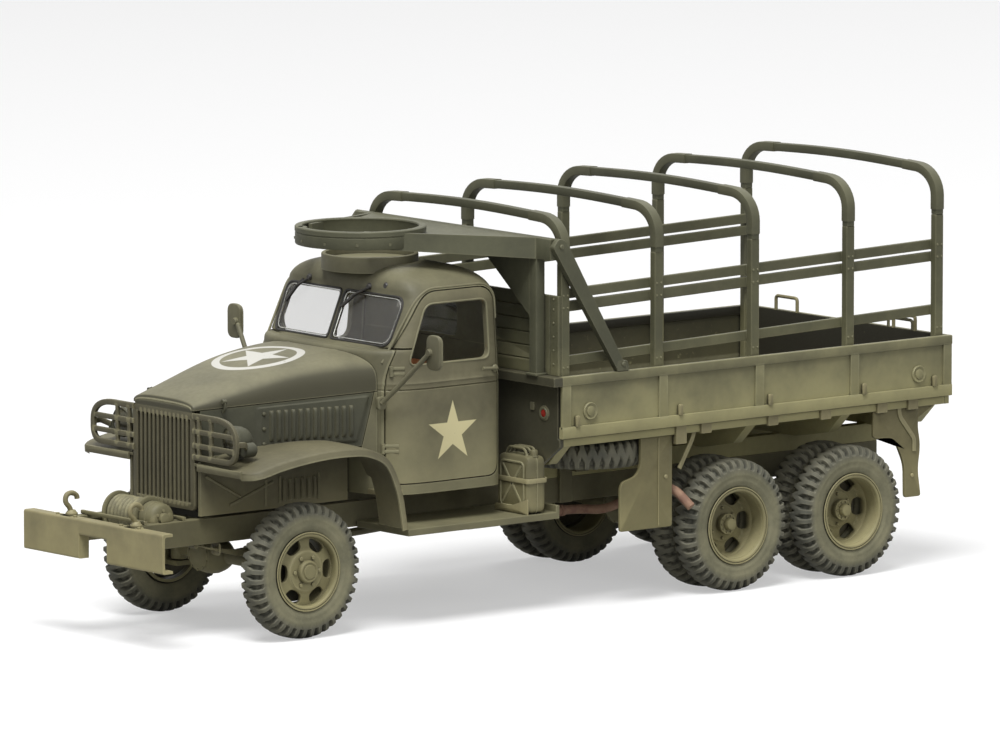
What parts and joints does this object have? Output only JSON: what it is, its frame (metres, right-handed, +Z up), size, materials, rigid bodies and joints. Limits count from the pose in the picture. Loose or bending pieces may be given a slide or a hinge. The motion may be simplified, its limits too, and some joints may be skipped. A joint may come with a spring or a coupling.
{
  "type": "scale model of a military cargo truck",
  "caption": "Small scale model of a six-wheel military cargo truck with front winch, open ring carriage over the cab, and racks with bows over its bed.",
  "frame": {"origin": "on the ground, under the middle of the truck's length and width", "axes": "+X forward, +Y to the truck's left, +Z up"},
  "size_m": [0.1588, 0.0548, 0.068],
  "materials": {
    "olive_paint": "matt military olive with dark wash in the seams and dust low down",
    "dusty_olive": "matt olive under a coat of pale dust",
    "chassis_olive": "dark matt olive with dust",
    "tyre": "matt dark grey, dusty in the tread",
    "wheel_paint": "matt olive, dusty",
    "glass": "clear with a frosted rim",
    "seat": "matt brown olive",
    "rusty_metal": "rusty brown",
    "dark_core": "near black",
    "lamp": "matt olive with a clear lens",
    "winch": "matt olive, worn cable"
  },
  "bodies": {
    "truck": {"chassis_frame": "chassis_olive", "front_bumper": "dusty_olive", "winch": "winch", "radiator_grille": "olive_paint", "radiator_core": "dark_core", "headlamps": "lamp", "hood_top": "olive_paint", "hood_sides": "olive_paint", "fender_left": "olive_paint", "fender_right": "olive_paint", "cab_shell": "olive_paint", "cab_floor": "chassis_olive", "door_left": "olive_paint", "door_right": "olive_paint", "window_glass": "glass", "wipers": "dark_core", "mirrors": "olive_paint", "ring_carriage": "olive_paint", "bench_seat": "seat", "steering_wheel": "dark_core", "running_boards": "dusty_olive", "jerrycan": "dusty_olive", "ring_mount": "olive_paint", "bed_floor": "dusty_olive", "bed_side_left": "dusty_olive", "bed_side_right": "dusty_olive", "bed_front": "dusty_olive", "tailgate": "dusty_olive", "side_rack_left": "olive_paint", "side_rack_right": "olive_paint", "front_rack": "olive_paint", "bows": "olive_paint", "splash_panels": "dusty_olive", "spare_tyre": "tyre", "spare_wheel": "wheel_paint", "fuel_tank": "dusty_olive", "exhaust": "rusty_metal", "front_axle": "chassis_olive", "rear_axles": "chassis_olive", "leaf_springs": "chassis_olive", "drive_shafts": "chassis_olive"},
    "steering_left": {"knuckle_left": "chassis_olive"},
    "steering_right": {"knuckle_right": "chassis_olive"},
    "front_wheel_left": {"tyre_front_left": "tyre", "wheel_front_left": "wheel_paint"},
    "mid_wheels_left": {"tyres_mid_left": "tyre", "wheels_mid_left": "wheel_paint"},
    "rear_wheels_left": {"tyres_rear_left": "tyre", "wheels_rear_left": "wheel_paint"},
    "front_wheel_right": {"tyre_front_right": "tyre", "wheel_front_right": "wheel_paint"},
    "mid_wheels_right": {"tyres_mid_right": "tyre", "wheels_mid_right": "wheel_paint"},
    "rear_wheels_right": {"tyres_rear_right": "tyre", "wheels_rear_right": "wheel_paint"}
  },
  "joints": [
    {"name": "steer_left", "type": "hinge", "parent": "truck", "child": "steering_left", "pos_m": [0.052, 0.0134, 0.0108], "axis": [0, 0, 1], "range_deg": [-22, 22]},
    {"name": "steer_right", "type": "hinge", "parent": "truck", "child": "steering_right", "pos_m": [0.052, -0.0134, 0.0108], "axis": [0, 0, 1], "range_deg": [-22, 22]},
    {"name": "roll_front_left", "type": "hinge", "parent": "steering_left", "child": "front_wheel_left", "pos_m": [0.052, 0.0179, 0.0108], "axis": [0, 1, 0], "continuous": true},
    {"name": "roll_mid_left", "type": "hinge", "parent": "truck", "child": "mid_wheels_left", "pos_m": [-0.0326, 0.01995, 0.0108], "axis": [0, 1, 0], "continuous": true},
    {"name": "roll_rear_left", "type": "hinge", "parent": "truck", "child": "rear_wheels_left", "pos_m": [-0.0573, 0.01995, 0.0108], "axis": [0, 1, 0], "continuous": true},
    {"name": "roll_front_right", "type": "hinge", "parent": "steering_right", "child": "front_wheel_right", "pos_m": [0.052, -0.0179, 0.0108], "axis": [0, 1, 0], "continuous": true},
    {"name": "roll_mid_right", "type": "hinge", "parent": "truck", "child": "mid_wheels_right", "pos_m": [-0.0326, -0.01995, 0.0108], "axis": [0, 1, 0], "continuous": true},
    {"name": "roll_rear_right", "type": "hinge", "parent": "truck", "child": "rear_wheels_right", "pos_m": [-0.0573, -0.01995, 0.0108], "axis": [0, 1, 0], "continuous": true}
  ],
  "couplings": [
    {"joint": "steer_right", "follows": "steer_left", "ratio": 1}
  ]
}
